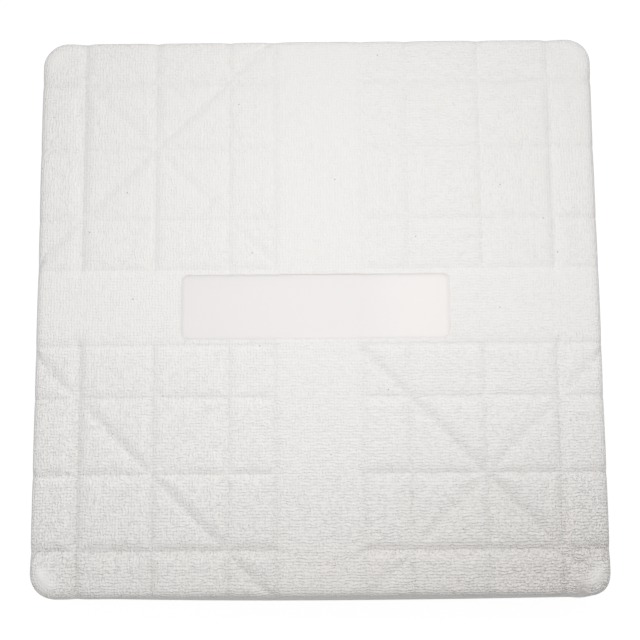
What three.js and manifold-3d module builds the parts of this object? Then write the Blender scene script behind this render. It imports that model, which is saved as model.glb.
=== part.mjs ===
// A baseball base: a moulded rubber cover with quilted grooves over a foam core, closed by a board
// and a rubber sole, with a square steel socket in the underside that drops over a ground stake.
// Millimetres, +Z up. The origin is the middle of the underside, and the front edge faces -Y.
import * as THREE from "three";
import { mergeVertices } from "three/addons/utils/BufferGeometryUtils.js";
import Module from "manifold-3d";

const wasm = await Module();
wasm.setup();

// Overall form
const baseSide = 381; // 15 in across the foot
const baseHeight = 76; // 3 in
const sideDraft = THREE.MathUtils.degToRad(3.5); // the sides lean in towards the top
const edgeInset = 14; // the top's rounded edge starts this far in from the side
const edgeDrop = 14; // and meets the side this far down
const topCorner = 5; // corner radius of the flat top, in plan
const edgeSteps = 5;
const cornerSteps = 5;
const roundSteps = 12;

// Quilting, moulded into the top and over the edges, the same in each quarter of the base
const quiltFirst = 59.5; // first line of the grid, from the middle
const quiltCell = 49; // from each line to the next
const quiltLines = 3;
const bandAcross = 58.6; // plain band that runs from front to back
const bandAlong = 51; // plain band that runs from left to right
const grooveWidth = 5;
const grooveDepth = 1.2;
const grooveReach = 46; // how far below the top the grooves run down the sides
const panelLength = 176; // smooth panel in the middle
const panelWidth = 43.5;
const panelRadius = 5;
const panelDepth = 1;

// Cover and what closes it
const coverWall = 5;
const lipWidth = 30; // the cover's lip, turned in under the board
const lipThickness = 4;
const soleThickness = 7;
const boardThickness = 16;
const fitGap = 0.3; // between pieces that fit inside one another
const seatGap = 0.2; // between faces that rest on one another

// Socket for the stake: 1 1/4 in square tube on a flange
const tubeSide = 31.75;
const tubeWall = 2.1;
const padOverSocket = 17; // foam left between the socket and the cover
const capThickness = 3;
const flangeSide = 150;
const flangeThickness = 5;
const flangeRadius = 8;
const windowGap = 1.5; // between the flange and the window in the sole

// Flange bolts, washers and tee nuts
const boltDiameter = 8;
const boltInset = 25; // from the flange's edge to a bolt
const boltHead = 14;
const boltHeadHeight = 3.5;
const boltCrown = 8; // across the flat end of the head
const boltSunk = 1.1; // how far the head stays above the ground
const boltKey = 5; // across the flats of the key socket
const boltKeyDepth = 2;
const boltProud = 2; // beyond the tee nut
const boltClearance = 0.4; // round the shank
const washerDiameter = 18;
const washerThickness = 1.2;
const teeBarrel = 10.5;
const teeFlange = 22;
const teeFlangeThickness = 1.5;
const teeBarrelGap = 3; // board left under the barrel

// Sole screws
const screwsPerSide = 3;
const screwDiameter = 4.8;
const screwHead = 9.5;
const screwHeadHeight = 2.6;
const screwSunk = 1; // how far the head sits above the ground
const screwTip = 5; // length of the point
const screwTipCover = 3; // board left over the point
const screwHoleGap = 1.2; // round the head

// Levels, from the ground up
const lipBottom = soleThickness + seatGap;
const lipTop = lipBottom + lipThickness;
const boardBottom = soleThickness + seatGap;
const boardTop = boardBottom + boardThickness;
const boltSeat = boltSunk + boltHeadHeight;
const washerBottom = boltSeat + seatGap;
const flangeBottom = washerBottom + washerThickness + seatGap;
const flangeTop = flangeBottom + flangeThickness;
const teeSeat = boardTop + seatGap;
const coreBottom = boardTop + seatGap;
const coverCeiling = baseHeight - coverWall;
const capTop = coverCeiling - padOverSocket;
const tubeTop = capTop - capThickness - seatGap;

// Places
const half = baseSide / 2;
const cornerRadius = edgeInset + topCorner; // in plan, at the foot
const quarterMiddle = quiltFirst + (quiltCell * (quiltLines - 1)) / 2;
const boltReach = flangeSide / 2 - boltInset;
const screwReach = half - Math.tan(sideDraft) * lipTop - coverWall - lipWidth / 2;
const overCut = 5; // cutters run this far past what they cut

// Finishes
const white = () => finish(0xecebe8, 0.75, 0);
const foam = () => finish(0xd8cfae, 0.95, 0);
const board = () => finish(0xb98f5c, 0.8, 0);
const blackRubber = () => finish(0x1e1e1f, 0.85, 0);
const steel = () => finish(0xa9adb0, 0.4, 1);
const zinc = () => finish(0xc4c2b6, 0.35, 1);

function finish(color, roughness, metalness) {
  return new THREE.MeshStandardMaterial({ color, roughness, metalness });
}

// Solids: a closed geometry with its shared vertices merged, and back again
function solid(geometry) {
  const bare = geometry.clone();
  bare.deleteAttribute("normal");
  bare.deleteAttribute("uv");
  const merged = mergeVertices(bare);
  const vertProperties = merged.attributes.position.array;
  const triVerts = new Uint32Array(merged.index.array);
  return new wasm.Manifold(new wasm.Mesh({ numProp: 3, vertProperties, triVerts }));
}

function geometryOf(body) {
  const made = body.getMesh();
  const geometry = new THREE.BufferGeometry();
  geometry.setAttribute("position", new THREE.BufferAttribute(made.vertProperties, 3));
  geometry.setIndex(new THREE.BufferAttribute(made.triVerts, 1));
  return geometry;
}

const join = (bodies) => bodies.reduce((all, body) => all.add(body));

// A rectangle with round corners, about the origin
function roundedRectangle(width, depth, radius) {
  const x = width / 2 - radius;
  const y = depth / 2 - radius;
  const shape = new THREE.Shape();
  shape.absarc(x, y, radius, 0, Math.PI / 2);
  shape.absarc(-x, y, radius, Math.PI / 2, Math.PI);
  shape.absarc(-x, -y, radius, Math.PI, 1.5 * Math.PI);
  shape.absarc(x, -y, radius, 1.5 * Math.PI, 2 * Math.PI);
  return shape;
}

function square(width) {
  const s = width / 2;
  const corners = [[s, s], [-s, s], [-s, -s], [s, -s]];
  return corners.map(([x, y]) => new THREE.Vector2(x, y));
}

// A flat shape between two levels
function slab(shape, bottom, top) {
  const options = { depth: top - bottom, bevelEnabled: false, curveSegments: cornerSteps };
  return new THREE.ExtrudeGeometry(shape, options).translate(0, 0, bottom);
}

// A round bar that stands at x, y between two levels
function bar(diameter, x, y, bottom, top) {
  const geometry = new THREE.CylinderGeometry(diameter / 2, diameter / 2, top - bottom, roundSteps);
  geometry.rotateX(Math.PI / 2);
  return solid(geometry.translate(x, y, (bottom + top) / 2));
}

// A turned piece about the Z axis, from [radius, level] pairs
function turned(profile) {
  const points = profile.map(([radius, level]) => new THREE.Vector2(radius, level));
  return new THREE.LatheGeometry(points, roundSteps).rotateX(Math.PI / 2);
}

// The base's outer form moved inwards all round by an inset, cut off at a floor and a roof level
function pillow(inset, floor, roof = baseHeight + overCut) {
  const foot = half - inset;
  const round = edgeInset - inset;
  const drop = edgeDrop - inset;
  const shape = roundedRectangle(2 * foot, 2 * foot, cornerRadius - inset);
  const geometry = new THREE.ExtrudeGeometry(shape, {
    depth: baseHeight - inset - drop + overCut,
    bevelThickness: drop,
    bevelSize: round,
    bevelOffset: -round,
    bevelSegments: edgeSteps,
    curveSegments: cornerSteps,
  });
  geometry.translate(0, 0, -overCut);
  const place = geometry.attributes.position;
  for (let i = 0; i < place.count; i++) {
    const lean = 1 - (Math.tan(sideDraft) * place.getZ(i)) / foot;
    place.setX(i, place.getX(i) * lean);
    place.setY(i, place.getY(i) * lean);
  }
  const keep = slab(new THREE.Shape(square(2 * baseSide)), floor, roof);
  return solid(geometry).intersect(solid(keep));
}

// One straight strip of the quilting, from a start point along a direction, tall enough to cut
function strip(startX, startY, angle, length, reach) {
  const geometry = new THREE.BoxGeometry(length, grooveWidth, reach + overCut);
  geometry.translate(length / 2, 0, baseHeight + (overCut - reach) / 2);
  geometry.rotateZ(angle);
  return solid(geometry.translate(startX, startY, 0));
}

// The strips of one quarter: grid lines and band edges both ways, and the two diagonals
function quarterStrips(turnX, turnY) {
  const towardsX = turnX > 0 ? 0 : Math.PI;
  const towardsY = (turnY * Math.PI) / 2;
  const grid = Array.from({ length: quiltLines }, (_, i) => quiltFirst + i * quiltCell);
  const startX = turnX * (bandAcross / 2);
  const startY = turnY * (bandAlong / 2);
  const strips = [];
  for (const line of [bandAcross / 2, ...grid]) {
    strips.push(strip(turnX * line, startY, towardsY, baseSide, grooveReach));
  }
  for (const line of [bandAlong / 2, ...grid]) {
    strips.push(strip(startX, turnY * line, towardsX, baseSide, grooveReach));
  }
  const outwards = Math.atan2(turnY, turnX);
  const middleX = turnX * quarterMiddle;
  const middleY = turnY * quarterMiddle;
  const inwardRun = (quarterMiddle - bandAcross / 2) * Math.SQRT2;
  strips.push(strip(middleX, middleY, outwards, baseSide, grooveReach));
  strips.push(strip(middleX, middleY, outwards + Math.PI, inwardRun, grooveReach));
  for (const sideways of [Math.PI / 2, -Math.PI / 2]) {
    strips.push(strip(middleX, middleY, outwards + sideways, inwardRun, edgeDrop));
  }
  return strips;
}

function quilting() {
  const strips = [1, -1].flatMap((x) => [1, -1].flatMap((y) => quarterStrips(x, y)));
  return join(strips).subtract(pillow(grooveDepth, -overCut));
}

function panelRecess() {
  const shape = roundedRectangle(panelLength, panelWidth, panelRadius);
  return solid(slab(shape, baseHeight - panelDepth, baseHeight + overCut));
}

// The cover's lip: a flat ring inside the wall, grown by a gap where its seat is cut
function lipRing(gap) {
  const opening = 2 * (half - Math.tan(sideDraft) * lipTop - coverWall - lipWidth - gap);
  const ring = new THREE.Shape(square(2 * baseSide));
  ring.holes.push(roundedRectangle(opening, opening, cornerRadius));
  return solid(slab(ring, lipBottom - gap, lipTop + gap));
}

// Screw places: a row along each side of the lip, turned round the four sides
function screwPlaces() {
  const places = [];
  for (let turn = 0; turn < 4; turn++) {
    for (let i = 0; i < screwsPerSide; i++) {
      const along = -screwReach + (2 * screwReach * i) / screwsPerSide;
      const place = new THREE.Vector2(along, -screwReach);
      places.push(place.rotateAround(new THREE.Vector2(), (turn * Math.PI) / 2));
    }
  }
  return places;
}

function boltPlaces() {
  const signs = [[1, 1], [-1, 1], [-1, -1], [1, -1]];
  return signs.map(([x, y]) => new THREE.Vector2(x * boltReach, y * boltReach));
}

// Levels of a sole screw, shared by the screws and their holes
const screwSeat = screwSunk + screwHeadHeight;
const screwEnd = boardTop - screwTipCover;

function screwHoles(bottom, top) {
  const hole = screwDiameter + 2 * fitGap;
  return join(screwPlaces().map(({ x, y }) => bar(hole, x, y, bottom, top)));
}

function cover() {
  const hollow = pillow(coverWall, -overCut).subtract(lipRing(0));
  return pillow(0, 0)
    .subtract(quilting())
    .subtract(panelRecess())
    .subtract(hollow)
    .subtract(screwHoles(0, lipTop + overCut));
}

function foamCore() {
  const pocketSide = tubeSide + 2 * fitGap;
  const pocket = slab(new THREE.Shape(square(pocketSide)), boardTop - overCut, capTop + fitGap);
  const teePocket = teeFlange + 2 * fitGap;
  const teeRoof = teeSeat + teeFlangeThickness + boltProud + fitGap;
  const teePockets = boltPlaces().map(({ x, y }) => bar(teePocket, x, y, boardTop - overCut, teeRoof));
  return pillow(coverWall + fitGap, coreBottom)
    .subtract(solid(pocket))
    .subtract(join(teePockets));
}

function baseBoard() {
  const flangePocket = roundedRectangle(flangeSide + 2 * fitGap, flangeSide + 2 * fitGap, flangeRadius);
  const tubeHole = new THREE.Shape(square(tubeSide + 2 * fitGap));
  const boltHole = boltDiameter + 2 * boltClearance;
  const barrelHole = teeBarrel + 2 * fitGap;
  const barrelFloor = flangeTop + teeBarrelGap - fitGap;
  const cuts = [
    lipRing(seatGap),
    solid(slab(flangePocket, boardBottom - overCut, flangeTop + seatGap)),
    solid(slab(tubeHole, boardBottom - overCut, boardTop + overCut)),
    screwHoles(boardBottom - overCut, screwEnd + fitGap),
  ];
  for (const { x, y } of boltPlaces()) {
    cuts.push(bar(boltHole, x, y, boardBottom - overCut, boardTop + overCut));
    cuts.push(bar(barrelHole, x, y, barrelFloor, boardTop + overCut));
  }
  const blank = pillow(coverWall + fitGap, boardBottom, boardTop);
  return blank.subtract(join(cuts));
}

function sole() {
  const opening = flangeSide + 2 * windowGap;
  const window = roundedRectangle(opening, opening, flangeRadius + windowGap);
  const headHole = screwHead + 2 * screwHoleGap;
  const cuts = [
    solid(slab(window, -overCut, soleThickness + overCut)),
    screwHoles(-overCut, soleThickness + overCut),
  ];
  for (const { x, y } of screwPlaces()) {
    cuts.push(bar(headHole, x, y, -overCut, screwSeat));
  }
  return pillow(coverWall + fitGap, 0, soleThickness).subtract(join(cuts));
}

function socketFlange() {
  const shape = roundedRectangle(flangeSide, flangeSide, flangeRadius);
  shape.holes.push(new THREE.Path(square(tubeSide + 2 * fitGap)));
  for (const { x, y } of boltPlaces()) {
    const hole = new THREE.Path();
    hole.absarc(x, y, boltDiameter / 2 + boltClearance, 0, 2 * Math.PI);
    shape.holes.push(hole);
  }
  return slab(shape, flangeBottom, flangeTop);
}

function socketTube() {
  const shape = new THREE.Shape(square(tubeSide));
  shape.holes.push(new THREE.Path(square(tubeSide - 2 * tubeWall)));
  return slab(shape, flangeBottom, tubeTop);
}

function socketCap() {
  return slab(new THREE.Shape(square(tubeSide)), tubeTop + seatGap, capTop);
}

// A button-headed bolt, head down, with a six-sided key socket
function flangeBolt() {
  const shank = boltDiameter / 2;
  const head = boltHead / 2;
  const end = teeSeat + teeFlangeThickness + boltProud;
  const profile = [
    [0, boltSunk],
    [boltCrown / 2, boltSunk],
    [head, boltSeat - boltHeadHeight / 3],
    [head, boltSeat],
    [shank, boltSeat],
    [shank, end],
    [0, end],
  ];
  const keyRadius = boltKey / Math.sqrt(3);
  const key = new THREE.CylinderGeometry(keyRadius, keyRadius, 2 * boltKeyDepth, 6);
  key.rotateX(Math.PI / 2).translate(0, 0, boltSunk);
  return geometryOf(solid(turned(profile)).subtract(solid(key)));
}

function flangeWasher() {
  const bore = boltDiameter / 2 + boltClearance;
  const rim = washerDiameter / 2;
  const top = flangeBottom - seatGap;
  return turned([[bore, washerBottom], [rim, washerBottom], [rim, top], [bore, top], [bore, washerBottom]]);
}

// A tee nut: its barrel goes down into the board and its flange rests on top
function teeNut() {
  const bore = boltDiameter / 2 + fitGap;
  const barrel = teeBarrel / 2;
  const rim = teeFlange / 2;
  const foot = flangeTop + teeBarrelGap;
  const top = teeSeat + teeFlangeThickness;
  return turned([
    [bore, foot],
    [barrel, foot],
    [barrel, teeSeat],
    [rim, teeSeat],
    [rim, top],
    [bore, top],
    [bore, foot],
  ]);
}

// A pan-headed wood screw, head down and point up
function soleScrew() {
  const shank = screwDiameter / 2;
  const head = screwHead / 2;
  return turned([
    [0, screwSunk],
    [head - screwHeadHeight / 2, screwSunk],
    [head, screwSunk + screwHeadHeight / 2],
    [head, screwSeat - seatGap],
    [shank, screwSeat - seatGap],
    [shank, screwEnd - screwTip],
    [0, screwEnd],
  ]);
}

const base = new THREE.Group();

function place(name, geometry, material, x = 0, y = 0) {
  const mesh = new THREE.Mesh(geometry, material);
  mesh.name = name;
  mesh.position.set(x, y, 0);
  base.add(mesh);
}

place("cover", geometryOf(cover()), white());
place("foam_core", geometryOf(foamCore()), foam());
place("base_board", geometryOf(baseBoard()), board());
place("sole", geometryOf(sole()), blackRubber());
place("socket_flange", socketFlange(), steel());
place("socket_tube", socketTube(), steel());
place("socket_cap", socketCap(), steel());

boltPlaces().forEach(({ x, y }, i) => {
  place(`flange_bolt_${i + 1}`, flangeBolt(), zinc(), x, y);
  place(`flange_washer_${i + 1}`, flangeWasher(), zinc(), x, y);
  place(`tee_nut_${i + 1}`, teeNut(), zinc(), x, y);
});

screwPlaces().forEach(({ x, y }, i) => {
  place(`sole_screw_${String(i + 1).padStart(2, "0")}`, soleScrew(), zinc(), x, y);
});

export default base;
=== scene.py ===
import math

import bmesh
import bpy
import numpy as np
from mathutils import Matrix, Vector, noise


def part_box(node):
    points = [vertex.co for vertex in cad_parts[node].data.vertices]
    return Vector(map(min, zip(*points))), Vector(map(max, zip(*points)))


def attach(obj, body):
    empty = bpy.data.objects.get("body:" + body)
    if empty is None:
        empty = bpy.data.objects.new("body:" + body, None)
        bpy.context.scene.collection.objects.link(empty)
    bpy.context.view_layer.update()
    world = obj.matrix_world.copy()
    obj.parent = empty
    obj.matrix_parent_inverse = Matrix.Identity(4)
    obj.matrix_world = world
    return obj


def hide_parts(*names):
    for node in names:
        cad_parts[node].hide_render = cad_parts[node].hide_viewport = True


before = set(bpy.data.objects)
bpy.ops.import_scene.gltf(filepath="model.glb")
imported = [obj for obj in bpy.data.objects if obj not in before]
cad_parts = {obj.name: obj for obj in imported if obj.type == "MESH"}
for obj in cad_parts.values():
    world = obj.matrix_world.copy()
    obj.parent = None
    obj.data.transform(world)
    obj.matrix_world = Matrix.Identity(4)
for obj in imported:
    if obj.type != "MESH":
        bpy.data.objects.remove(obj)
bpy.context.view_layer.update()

MM = 0.001
MERGE = 0.01 * MM
MERGE_FINE = 0.001 * MM

# Cover: overall form. A value of its own for each corner is keyed by the signs of the corner's x and y
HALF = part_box("cover")[1].x
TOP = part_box("cover")[1].z
SIDE_DRAFT = math.radians(3.5)
EDGE_ROUND = 14 * MM
EDGE_POWER = 0.4
TOP_CORNER = 3 * MM
COVER_WALL = 5 * MM
FOOT_ROUND = 2 * MM
FOOT_BOW = {(-1, 1): 1.5 * MM, (1, 1): 1.5 * MM, (-1, -1): 3.2 * MM, (1, -1): 1.5 * MM}
CROWN = 0.8 * MM

# Cover: how finely its skin is divided
SKIN_STEP = 1.95 * MM
SKIN_FLAT = 164 * MM
SHOULDER_RINGS = 5
EDGE_RINGS = 14
SIDE_RINGS = 14
FOOT_RINGS = 3

# Quilting: the place of each line from the middle, its depth, and how far its inner and outer walls reach
QUILT_LINES = (
    (59.5 * MM, 1 * MM, 6 * MM, 6.5 * MM),
    (108.5 * MM, 1.2 * MM, 6 * MM, 7 * MM),
    (156.5 * MM, 1.9 * MM, 6.5 * MM, 9.5 * MM),
)
BAND_X = 29.3 * MM
BAND_Y = 25.5 * MM
BAND_DEPTH = 0.9 * MM
BAND_WALL = 5.5 * MM

# Diagonals: for each quarter the depth of the one towards its corner, and of the one across it
DIAGONAL_DEPTHS = {
    (-1, 1): (0.8 * MM, 1.9 * MM),
    (1, 1): (0.4 * MM, 0.4 * MM),
    (-1, -1): (0.6 * MM, 1.7 * MM),
    (1, -1): (2 * MM, 0.85 * MM),
}
DIAGONAL_WALL = 7.5 * MM
DIAGONAL_END = 165 * MM
QUARTER = QUILT_LINES[1][0]

# Form of the quilted lines: soft wall, sharp fold, gains by place, fade over edge and sides, puff and waves
PILLOW_SOFT = 0.8 * MM
FOLD_DEPTH = 0.2 * MM
FOLD_WALL = 1.6 * MM
DIAGONAL_FOLD_WALL = 2.6 * MM
QUILT_GAIN = 1.25
FRONT_GAIN = 0.5
LEFT_GAIN = 1.4
UNEVEN_GAIN = 0.3
UNEVEN_SIZE = 40 * MM
UNEVEN_SEED = 7.3
EDGE_GROOVE = 0.1
EDGE_FADE = EDGE_ROUND / 2
GROOVE_END = 30 * MM
GROOVE_FADE = 14 * MM
PUFF = 0.2 * MM
PUFF_WALL = 15 * MM
WAVE = 0.25 * MM
WAVE_SIZE = 55 * MM
WAVE_SEED = 2.1

# How far the pattern lies off the middle, and the width over which that shift fades out
LAY_SHIFT = Vector((0.6 * MM, 1.4 * MM))
LAY_SPAN = 330 * MM

# Weave: its depth on the top and the sides, what other places add or take, and which threads lead
TOP_WEAVE = 0.64
SIDE_WEAVE = 0.8
LEFT_WEAVE = 0.36
RIGHT_WEAVE = 0.1
FRONT_WEAVE = 0.5
FRONT_EDGE_WEAVE = 1.1
FRONT_EDGE_POWER = 6
FRONT_EDGE_LEFT = 0.15
GRAIN_BACK = 60 * MM
BAND_SMOOTH = 0.22
PATCH_FLATTEN = 1.2
CREASE_FLATTEN = 0.5 / MM
FLATTEN_MOST = 0.95
LEAD_CENTRE = (85 * MM, 85 * MM)
LEAD_WANDER = 1.3
LEAD_SIZE = 5 * MM
LEAD_SEED = 4.7
LEAST_SHARE = 0.38

# Marks at the corners: how far each is drawn out, its smooth patch, and the front right's dimple and crease
CORNER_DRAW = {(-1, 1): -1 * MM, (1, 1): 0.3 * MM, (-1, -1): 0.6 * MM, (1, -1): 4 * MM}
CORNER_REACH = 22 * MM
CORNER_PATCH = {(-1, 1): 0.5, (1, 1): 0.3, (-1, -1): 1, (1, -1): 0.8}
PATCH_PLACE = Vector((175.5, 173.5, 75)) * MM
PATCH_LENGTH = 13 * MM
PATCH_WIDTH = 3.8 * MM
PATCH_SMOOTH = 9 * MM
PATCH_RISE = 1.3 * MM
DIMPLE_PLACE = Vector((168, -183.5, 73.5)) * MM
DIMPLE_REACH = Vector((4.5, 9, 18)) * MM  # along x, y and z
DIMPLE_DEPTH = 4.2 * MM
CREASE_START = Vector((162, -168, 76)) * MM
CREASE_DEPTH = 1.4 * MM
CREASE_WALL = 4 * MM

# Smooth panel, as the middle and half sizes of its outline and its corner radius, and the widths of its wall
PANEL = (-1.6 * MM, 1.5 * MM, 88.6 * MM, 21.75 * MM, 5 * MM)
PANEL_DEPTH = 1 * MM
PANEL_MOAT = 0.25 * MM
PANEL_SOFT = 0.1 * MM
PANEL_WALLS = (0.2 * MM, 0.25 * MM, 0.35 * MM)

# Lip that the cover turns in under the board
LIP_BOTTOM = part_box("base_board")[0].z
LIP_THICKNESS = 4 * MM
LIP_WIDTH = 30 * MM
LINING_RINGS = 4

# Foam core and its pockets
FOAM_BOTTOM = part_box("foam_core")[0].z
FOAM_GAP = 0.3 * MM
FOAM_STEP = 4 * MM
FOAM_FLAT = 160 * MM
FOAM_RINGS = (2, 5, 9)
FOAM_SHARP = math.radians(40)
POCKET_CORNER = 2 * MM
POCKET_SLOPE = 0.1 * MM
SOCKET_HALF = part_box("socket_tube")[1].x
SOCKET_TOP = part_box("socket_cap")[1].z
TEE_RADIUS = 11 * MM
BOLT_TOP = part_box("flange_bolt_1")[1].z

# Sole, its window, its screw holes and its tread
SOLE_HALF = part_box("sole")[1].x
SOLE_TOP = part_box("sole")[1].z
SOLE_CORNER = EDGE_ROUND + TOP_CORNER - COVER_WALL - FOAM_GAP
WINDOW_GAP = 1.5 * MM
FLANGE_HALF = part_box("socket_flange")[1].x
FLANGE_CORNER = 8 * MM
SCREW_REACH = (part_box("sole_screw_05")[0].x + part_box("sole_screw_05")[1].x) / 2
SCREW_SPACING = 2 * SCREW_REACH / 3
SOLE_MIDDLE = (SCREW_REACH + FLANGE_HALF) / 2
CELLS_PER_SPACING = 9
SOLE_CELL = SCREW_SPACING / CELLS_PER_SPACING
SOLE_CELLS = 15
WINDOW_CELLS = 6
TREAD_CELLS = (7, 13)
TREAD_DEPTH = 1.5 * MM
TREAD_GROOVE = 3.6 * MM
TREAD_SLOPE = 0.5 * MM
HEAD_HOLE = 5.95 * MM
SHANK_HOLE = 2.7 * MM
HEAD_SEAT = 3.6 * MM
HOLE_CUTS = 7
CORNER_CUTS = 4

# Fasteners
TURNED_STEPS = 48
TURNED_SHARP = math.radians(35)
DOME_STEPS = 6
BOLT_HEAD = 7 * MM
BOLT_CROWN = 4 * MM
BOLT_HEAD_HEIGHT = 3.5 * MM
BOLT_DOME = 0.65 * BOLT_HEAD_HEIGHT
BOLT_CHAMFER = 0.3 * MM
BOLT_SHANK = 4 * MM
BOLT_KEY = 2.5 * MM
BOLT_KEY_DEPTH = 2 * MM
BOLT_PITCH = 1.25 * MM
BOLT_THREAD = 0.6 * MM
BOLT_PLAIN = 2 * MM
BOLT_END = 0.7 * MM
BOLT_TIP = 1.2 * MM
WASHER_RIM = 9 * MM
WASHER_BORE = 4.4 * MM
SCREW_HEAD = 4.75 * MM
SCREW_CROWN = 3.3 * MM
SCREW_HEAD_HEIGHT = 2.4 * MM
SCREW_DOME = 0.6 * SCREW_HEAD_HEIGHT
SCREW_CHAMFER = 0.2 * MM
SCREW_SHANK = 2.4 * MM
SCREW_TIP = 5 * MM
SCREW_PITCH = 1.8 * MM
SCREW_THREAD = 0.7 * MM
SCREW_PLAIN = 1.5 * MM
CROSS_ARM = 2.5 * MM
CROSS_HALF = 0.75 * MM
CROSS_DEPTH = 1.4 * MM
TEE_BARREL = 5.25 * MM
TEE_BORE = 4.3 * MM
TEE_PLATE = 1.5 * MM

# Edges of the board and of the socket's steel
EDGE_SOFT = 0.4 * MM
EDGE_SHARP = math.radians(40)

# Stage: the fill's strength and lean, each lamp's place, size and power, and the camera
FILL_LOW = 1.05
FILL_HIGH = 0.25
FILL_LEAN = (0.05, 0.2, 0)
KEY_LAMP = ((0.06, 0.085, 0.626), 0.3, 1.16)
SOFT_LAMP = ((-0.2, -0.1, 0.676), 0.5, 0.66)
CAMERA_PLACE = Vector((6.8, -156.9, 956.8)) * MM
CAMERA_TILT = math.radians(9.63)
CAMERA_YAW = math.radians(2.12)
CAMERA_ROLL = math.radians(-2.55)
CAMERA_LENS = 76.60
CAMERA_SENSOR = 36


def linear(code):
    """An sRGB hex colour as a linear RGBA colour."""
    channels = [int(code[i:i + 2], 16) / 255 for i in (1, 3, 5)]
    return [c / 12.92 if c <= 0.04045 else ((c + 0.055) / 1.055) ** 2.4 for c in channels] + [1.0]


def node(material, kind, inputs=None, **settings):
    """Adds a node to a material or world. Each input is a value to set, or a socket or a node to link. A node
    gives its first output."""
    made = material.node_tree.nodes.new("ShaderNode" + kind)
    for name, value in settings.items():
        setattr(made, name, value)
    for name, value in (inputs or {}).items():
        if isinstance(value, bpy.types.Node):
            value = value.outputs[0]
        if isinstance(value, bpy.types.NodeSocket):
            material.node_tree.links.new(value, made.inputs[name])
        else:
            made.inputs[name].default_value = value
    return made


def new_material(name):
    material = bpy.data.materials.new(name)
    material.use_nodes = True
    material.node_tree.nodes.clear()
    return material


def new_piece(name, bm, *materials):
    """Makes a mesh object at the origin from a finished bmesh."""
    mesh = bpy.data.meshes.new(name)
    bm.to_mesh(mesh)
    bm.free()
    piece = bpy.data.objects.new(name, mesh)
    bpy.context.collection.objects.link(piece)
    for material in materials:
        mesh.materials.append(material)
    return piece


def dress(piece, cad_node):
    """Lets a piece stand for a node of the frame."""
    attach(piece, "root")
    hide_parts(cad_node)


# Materials. A MapRange node stretches input 0 from the range of inputs 1 and 2 to that of inputs 3 and 4

def canvas_grained_rubber():
    """White moulded rubber from a canvas-lined mould. Its warp and weft wander and swell, so their short
    ridges break up the light on a dull, warm white. The valleys of the weave are painted darker as shade,
    the front is painted darker as shade, the patches on the corners are painted lighter as a highlight,
    and there are a few dark specks of dirt."""
    m = new_material("canvas_grained_rubber")
    pitches = (1.95 * MM, 2 * MM)
    relief = 0.22 * MM
    uv = node(m, "UVMap", uv_map="weave")
    place = node(m, "TexCoord").outputs["Object"]
    laid = uv
    for size, reach in ((5 * MM, 2 * MM), (1.6 * MM, 1.1 * MM)):
        wander = node(m, "TexNoise", {"Vector": place, "Scale": 1 / size, "Detail": 0.0}).outputs["Color"]
        centred = node(m, "VectorMath", {0: wander, 1: (0.5, 0.5, 0.5)}, operation="SUBTRACT")
        drift = node(m, "VectorMath", {0: centred, "Scale": reach}, operation="SCALE")
        laid = node(m, "VectorMath", {0: laid, 1: drift}, operation="ADD")
    axes = node(m, "SeparateXYZ", {0: laid})
    threads = []
    for i, name in enumerate(("warp", "weft")):
        turn = node(m, "Math", {0: axes.outputs[i], 1: 2 * math.pi / pitches[i]}, operation="MULTIPLY")
        ridge = node(m, "Math", {0: turn}, operation="SINE")
        depth = node(m, "Attribute", attribute_name=name).outputs["Fac"]
        threads.append(node(m, "Math", {0: ridge, 1: depth}, operation="MULTIPLY"))
    woven = node(m, "Math", dict(enumerate(threads)), operation="ADD")
    gaps = node(m, "TexNoise", {"Vector": place, "Scale": 1 / (1.4 * MM), "Detail": 0.0})
    broken = node(m, "MapRange", {0: gaps, 1: 0.36, 2: 0.64, 3: 0.3, 4: 1.0})
    height = node(m, "Math", {0: woven, 1: broken}, operation="MULTIPLY")
    bump = node(m, "Bump", {"Height": height, "Distance": relief, "Strength": 1.0})
    dots = node(m, "TexVoronoi", {"Vector": uv, "Scale": 1 / (75 * MM)}, voronoi_dimensions="2D")
    speck = node(m, "MapRange", {0: dots.outputs["Distance"], 1: 0.004, 2: 0.008, 3: 0.5, 4: 0.0})
    # Painted shade: towards the front the rubber is painted darker
    forward = node(m, "VectorMath", {0: place, 1: (0.2, -1, 0)}, operation="DOT_PRODUCT").outputs["Value"]
    front_shade = node(m, "MapRange", {0: forward, 1: 0.09, 2: 0.2, 3: 0.0, 4: 1.0})
    clean = node(m, "MixRGB", {0: front_shade, 1: linear("#F6F4F2"), 2: linear("#EBE8E5")})
    # Painted highlight: the patches on the rounded corners are painted lighter
    corner_highlight = node(m, "Attribute", attribute_name="corner_highlight").outputs["Fac"]
    pale = node(m, "MixRGB", {0: corner_highlight, 1: clean, 2: linear("#FBF9F6")})
    # Painted shade: the valleys of the weave are painted darker
    valley_shade = node(m, "MapRange", {0: height, 1: -1.0, 2: 1.0, 3: 0.11, 4: 0.0})
    valley_shaded = node(m, "MixRGB", {0: valley_shade, 1: pale, 2: linear("#6E6864")})
    tone = node(m, "MixRGB", {0: speck, 1: valley_shaded, 2: linear("#5E5A55")})
    shader = node(m, "BsdfPrincipled", {"Base Color": tone, "Normal": bump, "Roughness": 0.62, "IOR": 1.5})
    node(m, "OutputMaterial", {"Surface": shader})
    return m


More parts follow.
